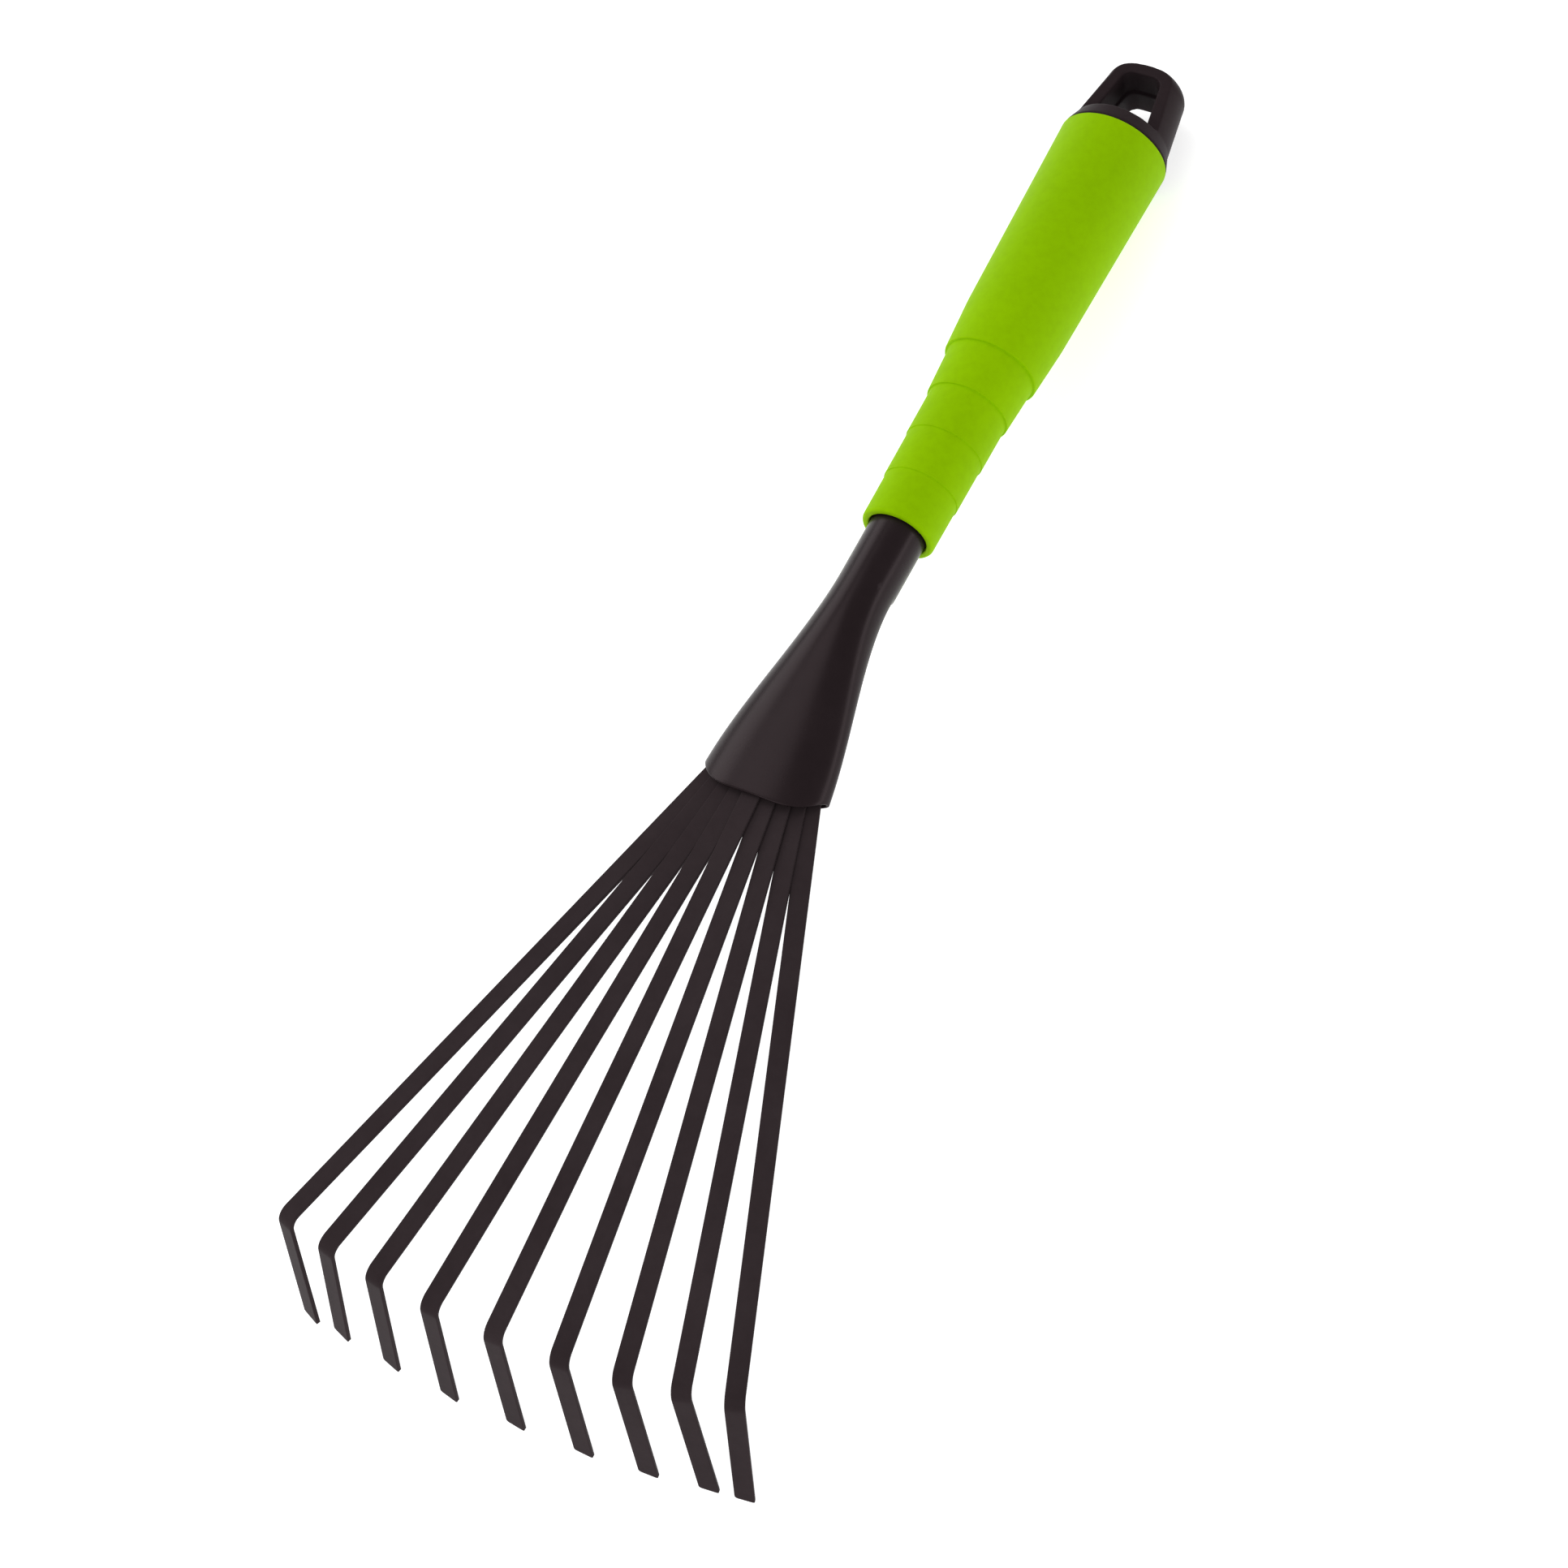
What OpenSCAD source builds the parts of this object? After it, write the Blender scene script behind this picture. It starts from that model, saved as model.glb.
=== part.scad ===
/* [Tube and socket] */
// Outside diameter of the steel tube
tube_d = 16.2; // [14:0.2:18]
// Wall of the steel tube and of its flared socket
tube_wall = 1.0; // [0.8:0.1:1.2]
// Length of tube held inside the grip
tube_inside = 105; // [60:5:110]
// Distance from the grip to where the tube starts to flatten
tube_neck = 18; // [12:1:24]
// Length of the flattened and flared socket, to its side corners
socket_len = 61; // [56:1:76]
// Width of the socket mouth
socket_w = 36.4; // [35:0.2:42]
// How far the middle of the mouth stands beyond its corners
socket_bulge = 7.5; // [6:0.5:10]
// How far the flare drops below the tube axis at the corners of the mouth
socket_drop = 6.3; // [5:0.1:7]
// How far the underside is pressed up halfway along the socket
socket_pinch = 4.6; // [2:0.1:5]

/* [Tines] */
// Width of the steel strip
strip_w = 5.2; // [4:0.1:5.4]
// Thickness of the steel strip
strip_t = 1.2; // [0.8:0.1:1.3]
// Length of a tine from the socket mouth to its knee
tine_len = 156.5; // [120:0.5:200]
// Sideways spacing of the tines in the socket mouth
root_pitch = 3.85; // [3.5:0.05:3.9]
// Angle between the middle tine and its neighbour
fan_first = 5.5; // [4:0.1:6]
// Angle between the outermost tine and its neighbour
fan_last = 3.8; // [3:0.1:6]
// How far the knees sit below the line of the handle
fan_drop = 26.3; // [15:0.1:35]
// Bend of the knee
knee_bend = 73; // [50:1:80]
// Inside radius of the knee
knee_r = 3.5; // [2:0.5:6]
// Length of a hook from knee to tip
hook_len = 43.5; // [25:0.5:60]
// Roll of the two outermost tines, which leans their hooks inwards
outer_roll = 7; // [0:1:12]
// Slant of the cut across the tip of a hook
tip_slant = 20; // [0:1:35]

/* [Grip] */
// Length of the grip sleeve
grip_len = 138; // [125:1:160]
// Diameter of the grip at its cap end
grip_d = 32.2; // [30:0.2:36]
// Diameter of the grip where the long barrel starts
barrel_d = 27.3; // [26.5:0.1:29]
// Diameter of the grip at its collar
collar_d = 21.1; // [20.8:0.1:22]
// Length of each stepped ring of the grip
ring_len = 14.4; // [12:0.1:16]
// Height of the small steps between the rings
ring_step = 0.4; // [0.2:0.05:0.5]

/* [End cap] */
// Length of the end cap beyond the grip
cap_len = 26; // [24:0.5:32]
// Thickness of the hang loop, from face to face
loop_t = 16; // [12:0.5:18]
// Thickness of the material around the hang hole
loop_band = 3.6; // [2.5:0.1:4.2]

/* [Hidden] */

black = [0.17, 0.15, 0.15];
green = [0.55, 0.76, 0.05];
plastic = [0.14, 0.12, 0.12];

// Handle frame: Y runs up the handle from the mouth of the grip, Z is up through the fan.
tube_r = tube_d / 2;
neck_y = -tube_neck;
mouth_gap = 5.6;
root_y = neck_y - socket_len - mouth_gap;

// The tines are stacked: the middle one is on top and each pair lies one level lower.
side_count = 4;
strip_gap = 0.05;
level = strip_t + strip_gap;
lip_z = 1.4;
lip_air = 0.3;
belly_drop = 8;
stack_z = lip_z - tube_wall - lip_air - strip_t / 2;
root_depth = 20;
knee_mid_r = knee_r + strip_t / 2;
knee_reach = knee_mid_r * tan(knee_bend / 2);

// Stations and radii of the grip.
grip_r = grip_d / 2;
barrel_r = barrel_d / 2;
collar_r = collar_d / 2;
barrel_y = 4 * ring_len;
shoulder_len = 16;
shoulder_share = 0.42;
shoulder_y = barrel_y + shoulder_len;
shoulder_r = barrel_r + shoulder_share * (grip_r - barrel_r);
edge = 0.35;
ring_taper = 0.1;
last_ring_extra = 0.25;
barrel_step = 0.85;
collar_bore_r = tube_r + 0.4;

// The hard core inside the soft sleeve, and the spigot of the cap inside the core.
core_start = 3;
core_small_r = tube_r + 1.2;
core_large_r = barrel_r - 1.8;
slip = 0.05;
spigot_r = core_large_r - 2.4;
spigot_len = 20;
spigot_wall = 2;

// The end cap is a round tapered plug with two flat faces and a hole through them.
flange_len = 5;
flange_base_r = grip_r - 0.2;
flange_top_r = 14.3;
loop_top_r = 11.8;
top_round = 5;
hole_round = 3.4;
hole_start = 5.6;

// How the flare opens: slow at first, straight in the middle, and level again at the mouth.
flare_power = 1.95;
flare_lead = 2.35;
drop_power = 1.9;
crown_start = 0.25;
crown_soft = 0.15;
belly_square = 0.4;
belly_bow = 0.3;

facets = 96;
knee_steps = 16;
skin_sides = 40;
skin_rows = 12;
// The flare begins as a straight sleeve that clasps the end of the round tube.
clasp_len = 1.5;
clasp_skin = 0.02;
// The flats of the flare stand just outside the round of the tube.
skin_scale = (1 + clasp_skin / tube_r) / cos(180 / skin_sides);

// Slope of one tine, so that every knee ends at the same height.
function fan_angle(k) = asin((stack_z - k * level + fan_drop) / tine_len);

// Heading of one tine, counted from the middle; the steps shrink evenly from first to last.
function heading(k) = k * fan_first - (fan_first - fan_last) * k * (k - 1) / 6;

// Zero at the start and one at the end, with a soft start at s.
function soft(v, s, e) = v - s + sqrt((v - s) * (v - s) + e * e);
function ramp(v, s, e) = (soft(v, s, e) - soft(0, s, e)) / (soft(1, s, e) - soft(0, s, e));

// Socket outline: half width, height of its side edge, of its crown and of its underside.
function half_w(v) = tube_r
    + (socket_w / 2 - tube_r) * pow(v, flare_power) * (flare_lead - (flare_lead - 1) * v);
function rim_z(v) = -socket_drop * pow(v, drop_power);
function crown_z(v) = tube_r - (tube_r - lip_z) * ramp(v, crown_start, crown_soft);
function belly_z(v) = -tube_r + 4 * socket_pinch * sqrt(v) * (1 - sqrt(v)) + (tube_r - belly_drop) * v;
function power(x, e) = sign(x) * pow(abs(x), e);

// One point of the socket skin: row along it, a around it, set in by the wall.
function skin(row, a, wall) =
    let (v = max(row - 1, 0) / (skin_rows - 1))
    let (y = row == 0 ? neck_y + clasp_len : neck_y - socket_len * v)
    let (inset = wall == 0 ? 0 : wall + clasp_skin)
    let (w = half_w(v) - inset)
    let (e = a > 180 ? 1 - belly_square * v : 1)
    let (cx = power(cos(a), e))
    let (cz = power(sin(a), e))
    let (up = crown_z(v) - inset - rim_z(v))
    let (down = rim_z(v) - belly_z(v) - inset)
    let (bow = socket_bulge * v * v * (1 - pow(cx, 4)) * (cz > 0 ? 1 : belly_bow))
    let (grow = wall == 0 ? skin_scale : 1)
    [grow * w * cx, y - bow, rim_z(v) + grow * (cz > 0 ? up : down) * cz];

// At rest the long corners of the outer hooks and the lower edge of the grip touch the ground.
tip_cut = strip_w / 2 * tan(tip_slant);
function reach(k) = tine_len * cos(fan_angle(k)) + hook_len * cos(knee_bend + fan_angle(k));
function tip_y(k) = root_y - reach(k) * cos(heading(k));
function tip_z(k) = -fan_drop - (hook_len + tip_cut) * sin(knee_bend + fan_angle(k));
rest_tilt = atan((-tip_z(side_count) - grip_r) / (grip_len - tip_y(side_count)));
ground_z = grip_len * sin(rest_tilt) + grip_r * cos(rest_tilt);

// The origin is under the middle of the length.
function rest_y(y, z) = y * cos(rest_tilt) + z * sin(rest_tilt);
mid_y = -(rest_y(grip_len + cap_len, 0) + rest_y(tip_y(0), tip_z(0))) / 2;

module at_rest() {
    translate([0, mid_y, ground_z])
        rotate([-rest_tilt, 0, 0])
            children();
}

// A point on the knee, at radius r from its centre and at angle a up from level.
function knee_point(r, a) = [r * cos(a) - knee_reach, r * sin(a) - knee_mid_r];

// Where the hook ends, at radius r from the centre of the knee, past its tip by extra.
function hook_end(r, extra) =
    knee_point(r, 90 - knee_bend)
    + (hook_len - knee_reach + extra) * [cos(knee_bend), -sin(knee_bend)];

// Side view of a tine: strip, rounded knee and hook, drawn around the corner of the knee.
module side_outline() {
    turns = [for (i = [0:knee_steps]) 90 - knee_bend * i / knee_steps];
    back = -tine_len - root_depth;
    polygon(concat(
        [[back, strip_t / 2]],
        [for (a = turns) knee_point(knee_r + strip_t, a)],
        [hook_end(knee_r + strip_t, tip_cut), hook_end(knee_r, tip_cut)],
        [for (i = [knee_steps:-1:0]) knee_point(knee_r, turns[i])],
        [[back, -strip_t / 2]]
    ));
}

// A bent strip with its tip cut on the slant, lying along Y.
module bent_strip() {
    end = hook_end(knee_mid_r, 0);
    rotate([90, 0, -90])
        difference() {
            linear_extrude(height = strip_w, center = true)
                side_outline();
            translate([end[0], end[1], 0])
                rotate([0, 0, -knee_bend])
                    rotate([0, -tip_slant, 0])
                        translate([0, -strip_w, -strip_w])
                            cube(2 * strip_w);
        }
}

// One whole tine; its number counts from left to right and the middle one is number five.
module tine(number) {
    place = number - side_count - 1;
    k = abs(place);
    side = sign(place);
    roll = k == side_count ? side * outer_roll : 0;
    color(black)
        at_rest()
            translate([place * root_pitch, root_y, stack_z - k * level])
                rotate([fan_angle(k), 0, side * heading(k)])
                    rotate([0, roll, 0])
                        translate([0, -tine_len, 0])
                            bent_strip();
}

module tine_1() {
    tine(1);
}

module tine_2() {
    tine(2);
}

module tine_3() {
    tine(3);
}

module tine_4() {
    tine(4);
}

module tine_5() {
    tine(5);
}

module tine_6() {
    tine(6);
}

module tine_7() {
    tine(7);
}

module tine_8() {
    tine(8);
}

module tine_9() {
    tine(9);
}

// Turns a profile drawn as radius and distance into a round part along Y.
module along_handle() {
    rotate([-90, 0, 0])
        rotate_extrude($fn = facets)
            children();
}

// Flared end of the tube: outer skin, inner skin and the two open ends.
module flare() {
    ring = skin_sides;
    rows = skin_rows;
    count = ring * (rows + 1);
    outer = [for (i = [0:rows]) for (j = [0:ring - 1]) skin(i, j * 360 / ring, 0)];
    inner = [for (i = [0:rows]) for (j = [0:ring - 1]) skin(i, j * 360 / ring, tube_wall)];
    sides = [
        for (i = [0:rows - 1])
            for (j = [0:ring - 1])
                let (a = i * ring + j)
                let (b = i * ring + (j + 1) % ring)
                each [[b, a, a + ring], [b, a + ring, b + ring]]
    ];
    walls = [for (f = sides) [f[2] + count, f[1] + count, f[0] + count]];
    ends = [
        for (i = [0, rows])
            for (j = [0:ring - 1])
                let (a = i * ring + j)
                let (b = i * ring + (j + 1) % ring)
                each i == 0
                    ? [[a, b, a + count], [b, b + count, a + count]]
                    : [[b, a, b + count], [a, a + count, b + count]]
    ];
    polyhedron(points = concat(outer, inner), faces = concat(sides, walls, ends), convexity = 6);
}

module socket_tube() {
    color(black)
        at_rest() {
            flare();
            along_handle()
                translate([tube_r - tube_wall, neck_y + clasp_len / 3])
                    square([tube_wall, tube_inside - neck_y - clasp_len / 3]);
        }
}

// Outside of the sleeve: collar, four stepped rings and the long tapered barrel.
function ring_r(i) = collar_r + i * ring_step + (i == 3 ? last_ring_extra : 0);
function ring_end_r(i) = i == 3 ? barrel_r - barrel_step : ring_r(i) + ring_taper;
function ring_outline(i) =
    let (bevel = i == 0 ? 2.5 * edge : edge)
    [
        [ring_r(i) - bevel, i * ring_len],
        [ring_r(i), i * ring_len + bevel],
        [ring_end_r(i), (i + 1) * ring_len]
    ];

module grip_sleeve() {
    color(green)
        at_rest()
            along_handle()
                polygon(concat(
                    [[collar_bore_r, 0]],
                    ring_outline(0),
                    ring_outline(1),
                    ring_outline(2),
                    ring_outline(3),
                    [
                        [barrel_r - edge, barrel_y],
                        [barrel_r, barrel_y + edge],
                        [shoulder_r, shoulder_y],
                        [grip_r, grip_len],
                        [core_large_r, grip_len],
                        [core_large_r, barrel_y],
                        [core_small_r, barrel_y],
                        [core_small_r, core_start],
                        [collar_bore_r, core_start]
                    ]
                ));
}

module handle_core() {
    color(plastic)
        at_rest()
            along_handle()
                polygon([
                    [tube_r + slip, core_start],
                    [core_small_r, core_start],
                    [core_small_r, barrel_y],
                    [core_large_r, barrel_y],
                    [core_large_r, grip_len],
                    [spigot_r + slip, grip_len],
                    [spigot_r + slip, grip_len - spigot_len - 1],
                    [tube_r + slip, grip_len - spigot_len - 6]
                ]);
}

// Radius of the round loop at y above the grip, and half the width of its flat face there.
function loop_r(y) = flange_top_r
    - (flange_top_r - loop_top_r) * (y - flange_len) / (cap_len - top_round - flange_len);
function face_half_w(y) = sqrt(pow(loop_r(y), 2) - pow(loop_t / 2, 2));

// The hang hole follows the edge of the flat face, one band inside it.
module hang_hole() {
    top_y = cap_len - loop_band - hole_round;
    translate([0, 0, -loop_t])
        linear_extrude(height = 2 * loop_t)
            hull()
                for (s = [-1, 1]) {
                    translate([s * (face_half_w(hole_start) - loop_band - 1), hole_start + 1])
                        circle(r = 1, $fn = 32);
                    translate([s * (face_half_w(top_y) - loop_band - hole_round), top_y])
                        circle(r = hole_round, $fn = 32);
                }
}

// The round loop, cut to its thickness by the two flat faces.
module loop() {
    top = cap_len - top_round;
    intersection() {
        along_handle()
            polygon(concat(
                [[0, 0], [flange_top_r, 0], [flange_top_r, flange_len]],
                [for (a = [0:9:90]) [loop_top_r - top_round * (1 - cos(a)), top + top_round * sin(a)]],
                [[0, cap_len]]
            ));
        translate([-grip_r, 0, -loop_t / 2])
            cube([2 * grip_r, cap_len, loop_t]);
    }
}

module end_cap() {
    color(plastic)
        at_rest()
            translate([0, grip_len, 0])
                difference() {
                    union() {
                        along_handle()
                            polygon([
                                [0, 0],
                                [flange_base_r, 0],
                                [flange_top_r, flange_len],
                                [0, flange_len]
                            ]);
                        loop();
                        along_handle()
                            translate([spigot_r - spigot_wall, -spigot_len])
                                square([spigot_wall, spigot_len + 1]);
                    }
                    hang_hole();
                }
}

tine_1();
tine_2();
tine_3();
tine_4();
tine_5();
tine_6();
tine_7();
tine_8();
tine_9();
socket_tube();
handle_core();
grip_sleeve();
end_cap();
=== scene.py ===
import math

import bmesh
import bpy
from mathutils import Euler, Matrix, Vector


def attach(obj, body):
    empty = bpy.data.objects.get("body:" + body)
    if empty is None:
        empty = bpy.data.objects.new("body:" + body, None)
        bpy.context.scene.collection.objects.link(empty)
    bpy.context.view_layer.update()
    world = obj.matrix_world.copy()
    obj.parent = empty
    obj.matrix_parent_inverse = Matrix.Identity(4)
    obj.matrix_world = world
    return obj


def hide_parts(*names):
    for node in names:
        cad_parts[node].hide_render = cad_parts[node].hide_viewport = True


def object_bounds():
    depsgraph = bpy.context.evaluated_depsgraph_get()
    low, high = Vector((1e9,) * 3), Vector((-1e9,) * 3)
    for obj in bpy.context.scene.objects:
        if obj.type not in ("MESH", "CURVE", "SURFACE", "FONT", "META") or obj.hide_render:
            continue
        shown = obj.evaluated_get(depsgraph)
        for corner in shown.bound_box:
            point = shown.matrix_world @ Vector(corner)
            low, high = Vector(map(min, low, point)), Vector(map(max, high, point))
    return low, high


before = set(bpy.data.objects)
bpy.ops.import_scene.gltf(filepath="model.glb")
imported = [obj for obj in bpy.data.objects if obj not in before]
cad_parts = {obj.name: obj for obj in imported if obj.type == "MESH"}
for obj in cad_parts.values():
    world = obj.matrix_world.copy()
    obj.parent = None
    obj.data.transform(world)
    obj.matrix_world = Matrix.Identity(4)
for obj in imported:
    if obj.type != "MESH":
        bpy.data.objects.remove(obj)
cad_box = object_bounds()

# Sizes are in millimetres in the handle frame: Y runs up the handle from the mouth of the grip
# (y = 0), Z is up through the fan, X is across. AT_REST turns them into the row frame, in metres.

# Tube and socket
TUBE_R = 8.1
TUBE_WALL = 1.0
TUBE_INSIDE = 105
NECK_Y = -18
SOCKET_LEN = 61
SOCKET_W = 36.4
SOCKET_BULGE = 7.5
SOCKET_DROP = 6.3
SOCKET_PINCH = 4.6
LIP_Z = 1.4
BELLY_DROP = 8
DROP_POWER = 1.9
CROWN_START = 0.25
CROWN_SOFT = 0.15
FLARE_POWER = 1.95
FLARE_LEAD = 2.35
BELLY_SQUARE = 0.4
BELLY_BOW = 0.3
LIP_ROUND = 0.4
TUBE_BEVEL = 0.25

# Tines
STRIP_W = 5.2
STRIP_T = 1.2
STRIP_EDGE = 0.28
STRIP_GAP = 0.05
LIP_AIR = 0.3
TINE_LEN = 156.5
ROOT_PITCH = 3.85
MOUTH_GAP = 5.6
ROOT_Y = NECK_Y - SOCKET_LEN - MOUTH_GAP
ROOT_DEPTH = 20
FAN_FIRST = 5.5
FAN_LAST = 3.8
FAN_DROP = 26.3
KNEE_BEND = 73
KNEE_INNER_R = 3.5
KNEE_R = KNEE_INNER_R + STRIP_T / 2
KNEE_REACH = KNEE_R * math.tan(math.radians(KNEE_BEND / 2))
KNEE_ARC = KNEE_R * math.radians(KNEE_BEND)
ARM_LEN = ROOT_DEPTH + TINE_LEN - KNEE_REACH
HOOK_LEN = 43.5
OUTER_ROLL = 7
TIP_SLANT = 20
TIP_CUT = STRIP_W / 2 * math.tan(math.radians(TIP_SLANT))
TIP_CORNER = 1.0
TIP_ROUND = 0.2
SIDE_COUNT = 4
LEVEL = STRIP_T + STRIP_GAP
STACK_Z = LIP_Z - TUBE_WALL - LIP_AIR - STRIP_T / 2

# Grip, core and end cap
GRIP_LEN = 138
GRIP_R = 16.1
BARREL_R = 13.65
COLLAR_R = 10.55
COLLAR_AIR = 0.4
COLLAR_BORE_R = TUBE_R + COLLAR_AIR
RING_COUNT = 4
RING_LEN = 14.4
RING_STEP = 0.4
RING_TAPER = 0.1
LAST_RING_EXTRA = 0.25
BARREL_STEP = 0.85
BARREL_Y = RING_COUNT * RING_LEN
SHOULDER_LEN = 16
SHOULDER_SHARE = 0.42
SHOULDER_Y = BARREL_Y + SHOULDER_LEN
SHOULDER_R = BARREL_R + SHOULDER_SHARE * (GRIP_R - BARREL_R)
CORE_START = 3
CORE_THIN_WALL = 1.2
CORE_SPIGOT_WALL = 2.4
SLEEVE_WALL = 1.8
CORE_SMALL_R = TUBE_R + CORE_THIN_WALL
CORE_LARGE_R = BARREL_R - SLEEVE_WALL
SLIP = 0.05
SPIGOT_R = CORE_LARGE_R - CORE_SPIGOT_WALL
SPIGOT_WALL = 2
SPIGOT_LEN = 20
CAP_LEN = 26
LOOP_T = 16
LOOP_BAND = 3.6
FLANGE_LEN = 5
FLANGE_EDGE = 0.5
FLANGE_SET_IN = 0.2
FLANGE_BASE_R = GRIP_R - FLANGE_SET_IN
FLANGE_TOP_R = 14.3
LOOP_TOP_R = 11.8
TOP_ROUND = 5
HOLE_ROUND = 3.4
HOLE_START = 5.6
# How much wider than its outline the hang hole is at each level (narrower below 0)
HOLE_NEAR_FACE = 0.2
HOLE_NEAR_LEDGE = -0.3
HOLE_FAR_LEDGE = -0.8
HOLE_FAR_FACE = -0.1
CAP_VOXEL_M = 0.0003
CAP_RELAX_STEPS = 8

# Camera and light: the camera's place is in the handle frame, its turn in degrees and its lens
# in millimetres; the size of the floor is in metres
CAMERA_PLACE = (414.9, -548.1, 964.8)
CAMERA_TURN = (31.635, 8.952, 26.938)
CAMERA_LENS = 102.06
CAMERA_SENSOR = 36
WORLD_STRENGTH = 0.45
FLOOR_HALF = 4
FLOOR_WHITE = 0.86
FLOOR_GLOW = 0.64
# Name, azimuth and elevation in degrees, distance and size in metres, power in watts
SOFT_BOXES = [
    ("Soft_Box_Left", -106, 28, 1.3, (1.2, 0.7), 6),
    ("Soft_Box_Front", 0, 38, 1.5, (1.0, 1.0), 5.6),
    ("Soft_Box_Low", 107, 10, 1.3, (1.0, 0.3), 2.6),
    ("Soft_Box_Top", -128, 64, 1.5, (0.8, 0.8), 3),
]


def sin(degrees):
    return math.sin(math.radians(degrees))


def cos(degrees):
    return math.cos(math.radians(degrees))


def turn(axis, degrees):
    return Matrix.Rotation(math.radians(degrees), 4, axis)


def shift(x, y, z):
    return Matrix.Translation((x, y, z))


# --- where the handle frame stands at rest -------------------------------------------------


def fan_angle(k):
    """How far the tine k places from the middle slopes down."""
    return math.degrees(math.asin((STACK_Z - k * LEVEL + FAN_DROP) / TINE_LEN))


def heading(k):
    """How far it turns outwards: the steps shrink evenly from FAN_FIRST to FAN_LAST."""
    return k * FAN_FIRST - (FAN_FIRST - FAN_LAST) * k * (k - 1) / (2 * (SIDE_COUNT - 1))


def tip(k):
    """Y and Z of the tip of the tine that is k places from the middle."""
    reach = TINE_LEN * cos(fan_angle(k)) + HOOK_LEN * cos(KNEE_BEND + fan_angle(k))
    drop = FAN_DROP + (HOOK_LEN + TIP_CUT) * sin(KNEE_BEND + fan_angle(k))
    return ROOT_Y - reach * cos(heading(k)), -drop


def rest_matrix():
    """Lays the rake on its outer tips and the end of its grip, centred along Y."""
    outer_y, outer_z = tip(SIDE_COUNT)
    middle_y, middle_z = tip(0)
    tilt = math.degrees(math.atan((-outer_z - GRIP_R) / (GRIP_LEN - outer_y)))
    ground = GRIP_LEN * sin(tilt) + GRIP_R * cos(tilt)
    front = middle_y * cos(tilt) + middle_z * sin(tilt)
    back = (GRIP_LEN + CAP_LEN) * cos(tilt)
    return Matrix.Scale(0.001, 4) @ shift(0, -(front + back) / 2, ground) @ turn("X", -tilt)


AT_REST = rest_matrix()


# --- procedural materials --------------------------------------------------------------------


def material(name, colours, rough, grain, bump, edge, **shader):
    """A finish: two colours in soft clouds, a roughness range, a fine grain and lighter edges, partly
    worn paint and partly a painted highlight.

    grain is its scale per metre and bump its height in metres. The edge colour is painted on convex
    edges, as worn paint and as a painted highlight along them.
    """
    made = bpy.data.materials.new(name)
    made.use_nodes = True
    nodes, links = made.node_tree.nodes, made.node_tree.links
    bsdf = nodes["Principled BSDF"]
    for socket, value in shader.items():
        bsdf.inputs[socket.replace("_", " ")].default_value = value

    def node(kind, **inputs):
        n = nodes.new(kind)
        for key, value in inputs.items():
            n.inputs[key].default_value = value
        return n

    place = nodes.new("ShaderNodeTexCoord")
    clouds = node("ShaderNodeTexNoise", Scale=34, Detail=5, Roughness=0.6)
    fine = node("ShaderNodeTexNoise", Scale=grain, Detail=3, Roughness=0.55)
    streaks = node("ShaderNodeTexNoise", Scale=420, Detail=4, Roughness=0.65)
    for texture in (clouds, fine, streaks):
        links.new(place.outputs["Object"], texture.inputs["Vector"])

    tone = nodes.new("ShaderNodeValToRGB")
    tone.color_ramp.elements[0].position = 0.32
    tone.color_ramp.elements[1].position = 0.68
    tone.color_ramp.elements[0].color = (*colours[0], 1)
    tone.color_ramp.elements[1].color = (*colours[1], 1)
    links.new(clouds.outputs["Fac"], tone.inputs["Fac"])

    speck = nodes.new("ShaderNodeMix")
    speck.data_type = "RGBA"
    speck.blend_type = "MULTIPLY"
    speck.inputs["Factor"].default_value = 0.35
    grey = nodes.new("ShaderNodeValToRGB")
    grey.color_ramp.elements[0].position = 0.3
    grey.color_ramp.elements[1].position = 0.6
    grey.color_ramp.elements[0].color = (0.8, 0.8, 0.8, 1)
    grey.color_ramp.elements[1].color = (1, 1, 1, 1)
    links.new(streaks.outputs["Fac"], grey.inputs["Fac"])
    links.new(tone.outputs["Color"], speck.inputs["A"])
    links.new(grey.outputs["Color"], speck.inputs["B"])

    # Convex edges are painted lighter: partly worn paint, partly a painted highlight along the edges.
    shape = nodes.new("ShaderNodeNewGeometry")
    wear_and_highlight_mask = node("ShaderNodeMapRange")
    wear_and_highlight_mask.inputs["From Min"].default_value = 0.54
    wear_and_highlight_mask.inputs["From Max"].default_value = 0.64
    links.new(shape.outputs["Pointiness"], wear_and_highlight_mask.inputs["Value"])
    patchy = nodes.new("ShaderNodeMath")
    patchy.operation = "MULTIPLY"
    links.new(wear_and_highlight_mask.outputs["Result"], patchy.inputs[0])
    links.new(streaks.outputs["Fac"], patchy.inputs[1])
    wear_and_highlight_mix = nodes.new("ShaderNodeMix")
    wear_and_highlight_mix.data_type = "RGBA"
    wear_and_highlight_mix.inputs["B"].default_value = (*edge, 1)
    links.new(patchy.outputs["Value"], wear_and_highlight_mix.inputs["Factor"])
    links.new(speck.outputs["Result"], wear_and_highlight_mix.inputs["A"])
    links.new(wear_and_highlight_mix.outputs["Result"], bsdf.inputs["Base Color"])

    gloss = node("ShaderNodeMapRange")
    gloss.inputs["From Min"].default_value = 0.3
    gloss.inputs["From Max"].default_value = 0.7
    gloss.inputs["To Min"].default_value = rough[0]
    gloss.inputs["To Max"].default_value = rough[1]
    links.new(clouds.outputs["Fac"], gloss.inputs["Value"])
    links.new(gloss.outputs["Result"], bsdf.inputs["Roughness"])

    relief = node("ShaderNodeBump", Strength=0.6, Distance=bump)
    links.new(fine.outputs["Fac"], relief.inputs["Height"])
    links.new(relief.outputs["Normal"], bsdf.inputs["Normal"])
    return made


# The edge colours are painted on convex edges, as wear and as a painted highlight.
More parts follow.
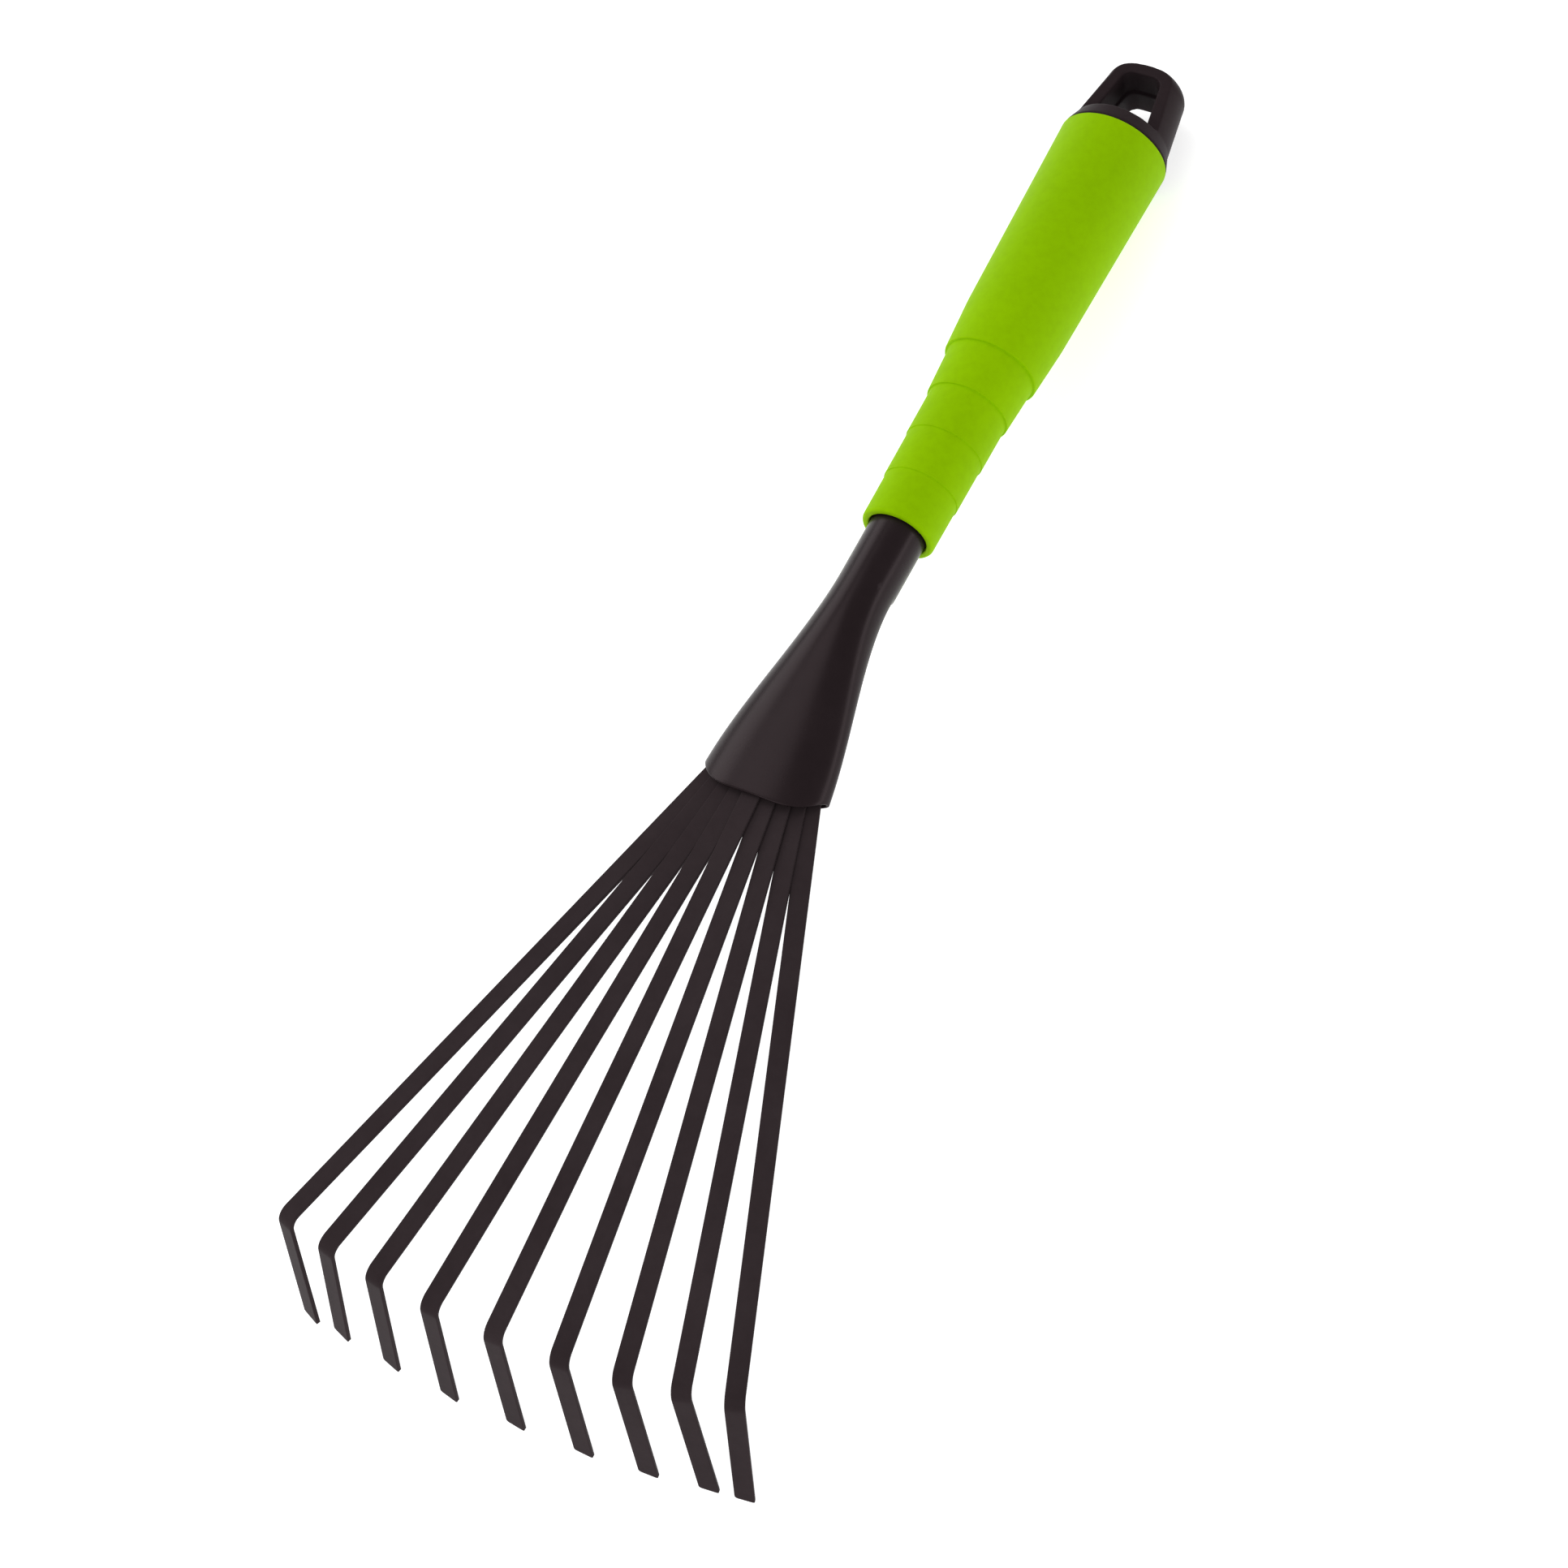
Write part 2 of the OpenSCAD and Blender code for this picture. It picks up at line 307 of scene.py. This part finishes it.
COATED_STEEL = dict(
    grain=2600,
    bump=0.000012,
    edge=(0.04, 0.031, 0.033),
    IOR=1.5,
    Specular_Tint=(1.0, 0.8, 0.84, 1.0),
)
FINISHES = {
    "tine_steel": material(
        "Tine_Steel_Coat",
        colours=[(0.033, 0.0238, 0.026), (0.0415, 0.0308, 0.0333)],
        rough=(0.3, 0.38),
        Specular_IOR_Level=0.01,
        **COATED_STEEL,
    ),
    "socket_steel": material(
        "Socket_Steel_Coat",
        colours=[(0.0125, 0.0078, 0.009), (0.0175, 0.0114, 0.013)],
        rough=(0.24, 0.3),
        Specular_IOR_Level=0.17,
        **COATED_STEEL,
    ),
    "grip_rubber": material(
        "Grip_Green_Rubber",
        colours=[(0.278, 0.548, 0.0), (0.3, 0.582, 0.0)],
        rough=(0.56, 0.66),
        grain=3400,
        bump=0.000018,
        edge=(0.31, 0.6, 0.0),
        IOR=1.45,
        Specular_IOR_Level=0.06,
        Specular_Tint=(0.9, 1.0, 0.2, 1.0),
    ),
    "core_plastic": material(
        "Core_Black_Plastic",
        colours=[(0.006, 0.0055, 0.0055), (0.009, 0.008, 0.008)],
        rough=(0.42, 0.52),
        grain=2200,
        bump=0.00001,
        edge=(0.02, 0.02, 0.02),
        IOR=1.5,
        Specular_IOR_Level=0.17,
    ),
    "cap_plastic": material(
        "Cap_Black_Plastic",
        colours=[(0.0235, 0.016, 0.018), (0.0295, 0.0205, 0.0226)],
        rough=(0.36, 0.45),
        grain=2400,
        bump=0.000014,
        edge=(0.03, 0.021, 0.023),
        IOR=1.5,
        Specular_IOR_Level=0.03,
        Specular_Tint=(1.0, 0.82, 0.86, 1.0),
    ),
}


# --- mesh helpers ----------------------------------------------------------------------------


def mesh_from(name, points, faces, place=AT_REST):
    mesh = bpy.data.meshes.new(name)
    mesh.from_pydata([place @ Vector(p) for p in points], [], faces)
    mesh.validate()
    worker = bmesh.new()
    worker.from_mesh(mesh)
    bmesh.ops.recalc_face_normals(worker, faces=worker.faces)
    worker.to_mesh(mesh)
    worker.free()
    return mesh


def piece(name, mesh, node, slot, sharp_angle=40):
    """A finished piece that stands for one CAD node."""
    mesh.polygons.foreach_set("use_smooth", [True] * len(mesh.polygons))
    mesh.set_sharp_from_angle(angle=math.radians(sharp_angle))
    mesh.materials.clear()
    mesh.materials.append(FINISHES[slot])
    made = bpy.data.objects.new(name, mesh)
    bpy.context.scene.collection.objects.link(made)
    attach(made, "root")
    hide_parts(node)
    return made


def rounded(outline, steps=6):
    """The closed outline of (x, y, radius) with each corner rounded to its radius."""
    made = []
    count = len(outline)
    for i, (x, y, radius) in enumerate(outline):
        here = Vector((x, y))
        before = Vector(outline[i - 1][:2]) - here
        after = Vector(outline[(i + 1) % count][:2]) - here
        angle = before.angle(after)
        if radius == 0 or math.pi - angle < 0.002:
            made.append((x, y))
            continue
        cut = min(radius / math.tan(angle / 2), 0.48 * before.length, 0.48 * after.length)
        radius = cut * math.tan(angle / 2)
        middle = (before.normalized() + after.normalized()).normalized()
        centre = here + middle * (radius / math.sin(angle / 2))
        start = here + before.normalized() * cut - centre
        end = here + after.normalized() * cut - centre
        sweep = start.angle_signed(end)
        for j in range(steps + 1):
            p = centre + Matrix.Rotation(-sweep * j / steps, 2) @ start
            made.append((p.x, p.y))
    return made


def revolve(name, outline, sides=144):
    """A ring turned about the handle's axis from a closed outline of (radius, y, corner radius)."""
    profile = rounded(outline)
    count = len(profile)
    points = [
        (r * cos(j * 360 / sides), y, r * sin(j * 360 / sides))
        for j in range(sides)
        for r, y in profile
    ]
    faces = []
    for j in range(sides):
        a, b = j * count, (j + 1) % sides * count
        for i in range(count):
            n = (i + 1) % count
            faces.append((a + i, a + n, b + n, b + i))
    return mesh_from(name, points, faces)


# --- tines -------------------------------------------------------------------------------------


def strip_section():
    """Half of the strip's outline, from the middle of its top round its right edge to below."""
    flat, tall = STRIP_W / 2 - STRIP_EDGE, STRIP_T / 2 - STRIP_EDGE
    closer_to_the_edge = (0, 0.3, 0.55, 0.72, 0.84, 0.93, 0.98)
    top = [(flat * share, STRIP_T / 2) for share in closer_to_the_edge]
    quarter = (0, 22.5, 45, 67.5, 90)
    roll = [(flat + STRIP_EDGE * sin(a), tall + STRIP_EDGE * cos(a)) for a in quarter]
    upper = top + roll
    return upper + [(x, -z) for x, z in reversed(upper)]


def tine_path(length):
    """Point and downward angle at a length along a tine, measured from its root end."""
    if length <= ARM_LEN:
        return length - ROOT_DEPTH - TINE_LEN, 0.0, 0.0
    if length <= ARM_LEN + KNEE_ARC:
        angle = math.degrees((length - ARM_LEN) / KNEE_R)
        return -KNEE_REACH + KNEE_R * sin(angle), KNEE_R * cos(angle) - KNEE_R, angle
    rest = length - ARM_LEN - KNEE_ARC
    x = -KNEE_REACH + KNEE_R * sin(KNEE_BEND) + rest * cos(KNEE_BEND)
    z = KNEE_R * cos(KNEE_BEND) - KNEE_R - rest * sin(KNEE_BEND)
    return x, z, KNEE_BEND


def tip_length(across):
    """Length of the hook at a place across it: cut on the slant, its corners rounded off."""
    reach = HOOK_LEN - KNEE_REACH + across * math.tan(math.radians(TIP_SLANT))
    beyond = abs(across) - (STRIP_W / 2 - TIP_CORNER)
    if beyond > 0:
        round_off = TIP_CORNER - math.sqrt(max(TIP_CORNER**2 - beyond**2, 0))
        short_side, long_side = 0.9, 0.45
        reach -= round_off * (short_side if across < 0 else long_side)
    return reach


def tine_mesh(name, place):
    """The strip's section swept along its path; the last rings round off the edge of the tip."""
    right = strip_section()
    section = right + [(-x, z) for x, z in reversed(right[1:-1])]
    count = len(section)
    arm_steps, knee_steps, hook_steps = 40, 18, 22
    stations = [ARM_LEN * i / arm_steps for i in range(arm_steps)]
    stations += [ARM_LEN + KNEE_ARC * i / knee_steps for i in range(knee_steps + 1)]
    points = []
    for length in stations:
        x, z, angle = tine_path(length)
        for across, up in section:
            points.append((across, -(x + up * sin(angle)), z + up * cos(angle)))
    # Each ring of the hook: its share of the hook's length, its thickness, what it stands proud
    ends = [(i / hook_steps, 1, 0) for i in range(1, hook_steps + 1)]
    ends += [(1, 0.8, TIP_ROUND / 2), (1, 0.5, TIP_ROUND)]
    for share, squeeze, proud in ends:
        for across, up in section:
            along_hook = (tip_length(across) - TIP_ROUND) * share + proud
            x, z, angle = tine_path(ARM_LEN + KNEE_ARC + along_hook)
            up = up * squeeze
            inward = across * (1 - (1 - squeeze) * STRIP_T / STRIP_W)
            points.append((inward, -(x + up * sin(angle)), z + up * cos(angle)))
    rings = len(points) // count
    faces = []
    for i in range(rings - 1):
        for j in range(count):
            n = (j + 1) % count
            a, b = i * count, (i + 1) * count
            faces.append((a + j, a + n, b + n, b + j))
    faces.append(tuple(range(count)))
    last = (rings - 1) * count
    half = count // 2
    for j in range(half // 2):
        for side in (1, -1):
            ring = [side * j, side * (j + 1), side * (half - j - 1), side * (half - j)]
            corners = [last + c % count for c in ring]
            faces.append(tuple(dict.fromkeys(corners)))
    return mesh_from(name, points, faces, AT_REST @ place)


def build_tines():
    for number in range(1, 2 * SIDE_COUNT + 2):
        offset = number - SIDE_COUNT - 1
        k = abs(offset)
        side = (offset > 0) - (offset < 0)
        roll = side * OUTER_ROLL if k == SIDE_COUNT else 0
        place = (
            shift(offset * ROOT_PITCH, ROOT_Y, STACK_Z - k * LEVEL)
            @ turn("X", fan_angle(k))
            @ turn("Z", side * heading(k))
            @ turn("Y", roll)
            @ shift(0, -TINE_LEN, 0)
        )
        mesh = tine_mesh(f"Tine_{number}_Mesh", place)
        piece(f"Steel_Tine_{number}", mesh, f"tine_{number}", "tine_steel")


# --- socket and tube ---------------------------------------------------------------------------


def soft(v, start, ease):
    """Near 0 before start and rising evenly after it, with a smooth change between the two."""
    return v - start + math.sqrt((v - start) ** 2 + ease**2)


def ramp(v, start, ease):
    """The same rise, brought to 0 at v = 0 and 1 at v = 1."""
    low = soft(0, start, ease)
    return (soft(v, start, ease) - low) / (soft(1, start, ease) - low)


def power(x, e):
    return math.copysign(abs(x) ** e, x)


def skin(v, a, inset, push=0.0):
    """One point of the flared socket, v along it and a around it.

    It is set in by inset, and push moves it on past the mouth.
    """
    rim = -SOCKET_DROP * v**DROP_POWER
    crown = TUBE_R - (TUBE_R - LIP_Z) * ramp(v, CROWN_START, CROWN_SOFT)
    # The pinch lifts the belly most where v is a quarter, by SOCKET_PINCH.
    pinch = 4 * SOCKET_PINCH * math.sqrt(v) * (1 - math.sqrt(v))
    belly = -TUBE_R + pinch + (TUBE_R - BELLY_DROP) * v
    spread = v**FLARE_POWER * (FLARE_LEAD - (FLARE_LEAD - 1) * v)
    half = TUBE_R + (SOCKET_W / 2 - TUBE_R) * spread - inset
    lower = a > 180
    e = 1 - BELLY_SQUARE * v if lower else 1
    cx, cz = power(cos(a), e), power(sin(a), e)
    tall = rim - belly - inset if lower else crown - inset - rim
    bow = SOCKET_BULGE * v * v * (1 - cx**4) * (BELLY_BOW if lower else 1)
    return half * cx, NECK_Y - SOCKET_LEN * v - bow - push, rim + tall * cz


def socket_mesh():
    """Rings from the top of the tube down its outside, round the lip and back up its inside."""
    sides, rows, lip_steps = 160, 72, 6
    around = [j * 360 / sides for j in range(sides)]

    def tube_ring(y, r):
        return [(r * cos(a), y, r * sin(a)) for a in around]

    bore_r = TUBE_R - TUBE_WALL
    tube_end = TUBE_INSIDE - TUBE_BEVEL
    rings = [tube_ring(TUBE_INSIDE, TUBE_R - TUBE_BEVEL)]
    for y in (tube_end, 60, 20, 8, 0, -6, -12):
        rings.append(tube_ring(y, TUBE_R))
    for i in range(rows + 1):
        rings.append([skin(i / rows, a, 0) for a in around])
    for i in range(1, lip_steps):
        share = 180 * i / lip_steps
        inset = TUBE_WALL * (1 - cos(share)) / 2
        rings.append([skin(1, a, inset, LIP_ROUND * sin(share)) for a in around])
    for i in range(rows, -1, -1):
        rings.append([skin(i / rows, a, TUBE_WALL) for a in around])
    for y in (-12, 0, 20, 60, tube_end):
        rings.append(tube_ring(y, bore_r))
    rings.append(tube_ring(TUBE_INSIDE, bore_r + TUBE_BEVEL))
    points = [p for ring in rings for p in ring]
    faces = []
    for i in range(len(rings)):
        a, b = i * sides, (i + 1) % len(rings) * sides
        for j in range(sides):
            n = (j + 1) % sides
            faces.append((a + j, a + n, b + n, b + j))
    return mesh_from("Socket_Tube_Mesh", points, faces)


# --- grip and core -----------------------------------------------------------------------------


def grip_outline():
    """Up the outside of the rings and the barrel, then back down the bore."""
    outline = [(COLLAR_BORE_R, 0, 0.5)]
    for i in range(RING_COUNT):
        last = i == RING_COUNT - 1
        ring_r = COLLAR_R + i * RING_STEP + (LAST_RING_EXTRA if last else 0)
        end_r = BARREL_R - BARREL_STEP if last else ring_r + RING_TAPER
        outline.append((ring_r, i * RING_LEN, 1.1 if i == 0 else 0.22))
        outline.append((end_r, (i + 1) * RING_LEN, 0.2))
    outline += [
        (BARREL_R, BARREL_Y, 0.5),
        (SHOULDER_R, SHOULDER_Y, 60),
        (GRIP_R, GRIP_LEN, 0.5),
        (CORE_LARGE_R, GRIP_LEN, 0.1),
        (CORE_LARGE_R, BARREL_Y, 0.1),
        (CORE_SMALL_R, BARREL_Y, 0.1),
        (CORE_SMALL_R, CORE_START, 0.1),
        (COLLAR_BORE_R, CORE_START, 0.1),
    ]
    return outline


def core_outline():
    end = GRIP_LEN - SPIGOT_LEN
    return [
        (TUBE_R + SLIP, CORE_START, 0.2),
        (CORE_SMALL_R, CORE_START, 0.3),
        (CORE_SMALL_R, BARREL_Y, 0.2),
        (CORE_LARGE_R, BARREL_Y, 0.4),
        (CORE_LARGE_R, GRIP_LEN, 0.3),
        (SPIGOT_R + SLIP, GRIP_LEN, 0.3),
        (SPIGOT_R + SLIP, end - 1, 0.3),
        (TUBE_R + SLIP, end - 6, 0.3),
    ]


# --- end cap -----------------------------------------------------------------------------------


def slab(name, low, high, place):
    """A closed block between two outlines of the same count, low at its z and high at its z."""
    (low_outline, low_z), (high_outline, high_z) = low, high
    count = len(low_outline)
    points = [(x, y, low_z) for x, y in low_outline] + [(x, y, high_z) for x, y in high_outline]
    faces = [tuple(range(count)), tuple(range(2 * count - 1, count - 1, -1))]
    for i in range(count):
        n = (i + 1) % count
        faces.append((i, n, count + n, count + i))
    return block(name, mesh_from(name, points, faces, place))


def block(name, mesh):
    made = bpy.data.objects.new(name, mesh)
    bpy.context.scene.collection.objects.link(made)
    return made


def solid_of_revolution(name, outline, place, sides=96):
    """A closed solid from an open outline of (radius, y) that starts and ends on the axis."""
    points = [(0, outline[0][1], 0), (0, outline[-1][1], 0)]
    body = outline[1:-1]
    for j in range(sides):
        a = j * 360 / sides
        points += [(r * cos(a), y, r * sin(a)) for r, y in body]
    count = len(body)
    faces = []
    for j in range(sides):
        a, b = 2 + j * count, 2 + (j + 1) % sides * count
        faces.append((0, a, b))
        faces.append((1, b + count - 1, a + count - 1))
        for i in range(count - 1):
            faces.append((a + i, a + i + 1, b + i + 1, b + i))
    return block(name, mesh_from(name, points, faces, place))


def combine(base, other, operation):
    tool = base.modifiers.new(operation, "BOOLEAN")
    tool.operation = operation
    tool.solver = "EXACT"
    tool.object = other
    settle(base)
    bpy.data.objects.remove(other)


def settle(obj):
    """Applies the modifiers of obj."""
    bpy.context.view_layer.update()
    graph = bpy.context.evaluated_depsgraph_get()
    mesh = bpy.data.meshes.new_from_object(obj.evaluated_get(graph))
    obj.modifiers.clear()
    obj.data = mesh


def face_half_w(y):
    """Half the width of the loop's flat face at y above the grip."""
    narrowing = (y - FLANGE_LEN) / (CAP_LEN - TOP_ROUND - FLANGE_LEN)
    loop_r = FLANGE_TOP_R - (FLANGE_TOP_R - LOOP_TOP_R) * narrowing
    return math.sqrt(loop_r**2 - (LOOP_T / 2) ** 2)


def hole_outline(grow):
    """The hang hole, one band inside the edge of the flat face, grown by a little all round."""
    top_y = CAP_LEN - LOOP_BAND + grow
    low_w = face_half_w(HOLE_START) - LOOP_BAND + grow
    top_w = face_half_w(top_y - HOLE_ROUND) - LOOP_BAND + grow
    return rounded(
        [
            (-low_w, HOLE_START - grow, 1),
            (low_w, HOLE_START - grow, 1),
            (top_w, top_y, HOLE_ROUND),
            (-top_w, top_y, HOLE_ROUND),
        ],
        steps=10,
    )


def cap_mesh():
    """The cap is cut from plain solids, then remeshed and relaxed, which rounds its moulded edges."""
    local = shift(0, GRIP_LEN, 0)
    top = CAP_LEN - TOP_ROUND
    profile = [(0, 0), (FLANGE_TOP_R, 0), (FLANGE_TOP_R, FLANGE_LEN)]
    for a in range(0, 91, 9):
        profile.append((LOOP_TOP_R - TOP_ROUND * (1 - cos(a)), top + TOP_ROUND * sin(a)))
    profile.append((0, CAP_LEN))
    body = solid_of_revolution("loop", profile, local)
    wide = [(-GRIP_R, -1), (GRIP_R, -1), (GRIP_R, CAP_LEN + 1), (-GRIP_R, CAP_LEN + 1)]
    combine(body, slab("flats", (wide, -LOOP_T / 2), (wide, LOOP_T / 2), local), "INTERSECT")
    flange = [(0, 0), (FLANGE_BASE_R, 0), (FLANGE_BASE_R, FLANGE_EDGE)]
    flange += [(FLANGE_TOP_R, FLANGE_LEN), (0, FLANGE_LEN)]
    combine(body, solid_of_revolution("flange", flange, local), "UNION")
    spigot = [(0, -SPIGOT_LEN), (SPIGOT_R, -SPIGOT_LEN), (SPIGOT_R, 1), (0, 1)]
    combine(body, solid_of_revolution("spigot", spigot, local), "UNION")
    bore_r = SPIGOT_R - SPIGOT_WALL
    bore = [(0, -SPIGOT_LEN - 1), (bore_r, -SPIGOT_LEN - 1), (bore_r, 0), (0, 0)]
    combine(body, solid_of_revolution("bore", bore, local), "DIFFERENCE")
    # The hole tapers in from both faces, and the two moulded halves meet in a narrow ledge.
    face_z = LOOP_T / 2 + 6
    near_ledge, near_face = hole_outline(HOLE_NEAR_LEDGE), hole_outline(HOLE_NEAR_FACE)
    far_ledge, far_face = hole_outline(HOLE_FAR_LEDGE), hole_outline(HOLE_FAR_FACE)
    near = slab("near", (near_ledge, 0), (near_face, face_z), local)
    far = slab("far", (far_face, -face_z), (far_ledge, 0.01), local)
    combine(body, near, "DIFFERENCE")
    combine(body, far, "DIFFERENCE")
    body.data.transform(AT_REST)
    remesh = body.modifiers.new("remesh", "REMESH")
    remesh.mode = "VOXEL"
    remesh.voxel_size = CAP_VOXEL_M
    settle(body)
    relax = body.modifiers.new("relax", "SMOOTH")
    relax.factor = 0.5
    relax.iterations = CAP_RELAX_STEPS
    settle(body)
    mesh = body.data
    bpy.data.objects.remove(body)
    return mesh


# --- stage ---------------------------------------------------------------------------------------


def build_floor():
    half = FLOOR_HALF
    corners = [(-half, -half, 0), (half, -half, 0), (half, half, 0), (-half, half, 0)]
    mesh = bpy.data.meshes.new("Floor_Mesh")
    mesh.from_pydata(corners, [], [(0, 1, 2, 3)])
    floor = bpy.data.objects.new("Studio_Floor", mesh)
    bpy.context.scene.collection.objects.link(floor)
    paint = bpy.data.materials.new("Floor_White")
    paint.use_nodes = True
    bsdf = paint.node_tree.nodes["Principled BSDF"]
    bsdf.inputs["Base Color"].default_value = (FLOOR_WHITE, FLOOR_WHITE, FLOOR_WHITE, 1)
    bsdf.inputs["Roughness"].default_value = 0.9
    bsdf.inputs["Specular IOR Level"].default_value = 0.1
    bsdf.inputs["Emission Color"].default_value = (1, 1, 1, 1)
    bsdf.inputs["Emission Strength"].default_value = FLOOR_GLOW
    mesh.materials.append(paint)


def area_light(name, azimuth, elevation, distance, size, power_w):
    """A soft box that faces the middle of the rake; azimuth 0 is the side of the hooks."""
    low, high = cad_box
    middle = (low + high) / 2
    level = cos(elevation)
    back = Vector((sin(azimuth) * level, -cos(azimuth) * level, sin(elevation)))
    data = bpy.data.lights.new(name, "AREA")
    data.shape = "RECTANGLE"
    data.size, data.size_y = size
    data.energy = power_w
    lamp = bpy.data.objects.new(name, data)
    lamp.location = middle + back * distance
    lamp.rotation_mode = "QUATERNION"
    lamp.rotation_quaternion = back.to_track_quat("Z", "Y")
    bpy.context.scene.collection.objects.link(lamp)


def build_lights():
    world = bpy.data.worlds.new("Studio_World")
    world.use_nodes = True
    background = world.node_tree.nodes["Background"]
    background.inputs["Color"].default_value = (1, 1, 1, 1)
    background.inputs["Strength"].default_value = WORLD_STRENGTH
    bpy.context.scene.world = world
    for box in SOFT_BOXES:
        area_light(*box)


def build_camera():
    """A long lens looking down on the fan from the right of the hooks."""
    data = bpy.data.cameras.new("Camera")
    data.sensor_width = CAMERA_SENSOR
    data.lens = CAMERA_LENS
    data.clip_start, data.clip_end = 0.05, 50
    camera = bpy.data.objects.new("Camera", data)
    bpy.context.scene.collection.objects.link(camera)
    aim = Euler([math.radians(a) for a in CAMERA_TURN], "XYZ").to_matrix().to_4x4()
    where, way, _ = (AT_REST @ shift(*CAMERA_PLACE) @ aim).decompose()
    camera.location = where
    camera.rotation_mode = "QUATERNION"
    camera.rotation_quaternion = way
    bpy.context.scene.camera = camera


build_tines()
piece("Flared_Socket_Tube", socket_mesh(), "socket_tube", "socket_steel", 50)
piece("Handle_Core", revolve("Handle_Core_Mesh", core_outline()), "handle_core", "core_plastic")
piece("Grip_Sleeve", revolve("Grip_Sleeve_Mesh", grip_outline()), "grip_sleeve", "grip_rubber", 60)
piece("Hanging_End_Cap", cap_mesh(), "end_cap", "cap_plastic", 60)
build_floor()
build_lights()
build_camera()
bpy.context.scene.view_settings.view_transform = "Standard"
